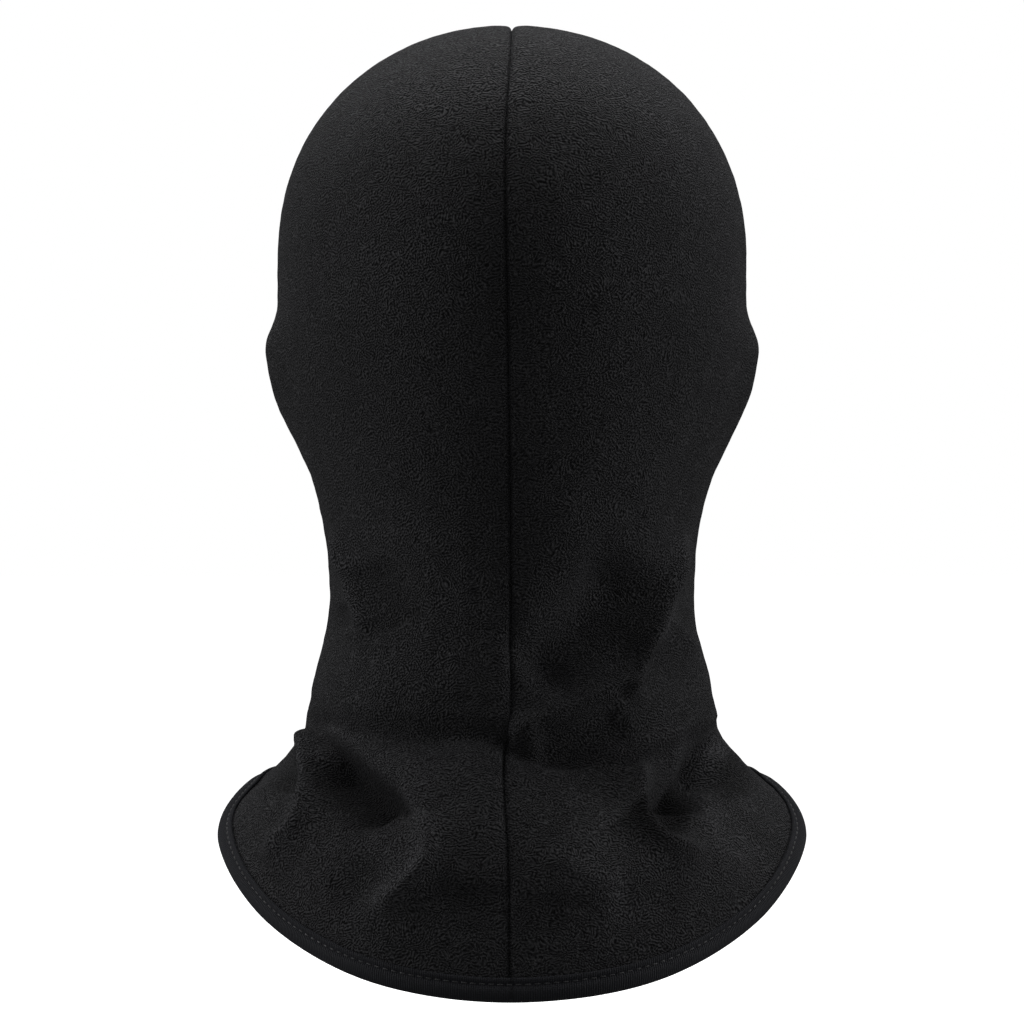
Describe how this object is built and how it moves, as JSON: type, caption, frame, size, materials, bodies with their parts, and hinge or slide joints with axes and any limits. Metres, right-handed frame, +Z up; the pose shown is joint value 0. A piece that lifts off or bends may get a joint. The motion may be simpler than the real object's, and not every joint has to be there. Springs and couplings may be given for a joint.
{
  "type": "balaclava",
  "caption": "Fleece balaclava with one eye opening, a centre seam over the crown and a flared bib with a bound hem.",
  "frame": {"origin": "middle of the head cavity, 18 mm above the wearer's ear openings, which is the wearer_head mount", "axes": "+Z up to the crown, -Y the way the face looks, +X to the wearer's left"},
  "size_m": [0.2024, 0.2204, 0.3275],
  "materials": {
    "fleece": "black polar fleece, short matt pile",
    "binding": "black knit tape, fine ribs, slight sheen",
    "thread": "black polyester thread, satin",
    "elastic": "woven flat elastic, matt",
    "label": "blank woven satin"
  },
  "bodies": {
    "root": {"left_panel": "fleece", "right_panel": "fleece", "hem_binding": "binding", "hem_stitching": "thread", "eye_binding": "binding", "eye_elastic": "elastic", "eye_stitching": "thread", "back_seam_thread": "thread", "front_seam_thread": "thread", "care_label": "label", "label_stitching": "thread"}
  },
  "joints": []
}
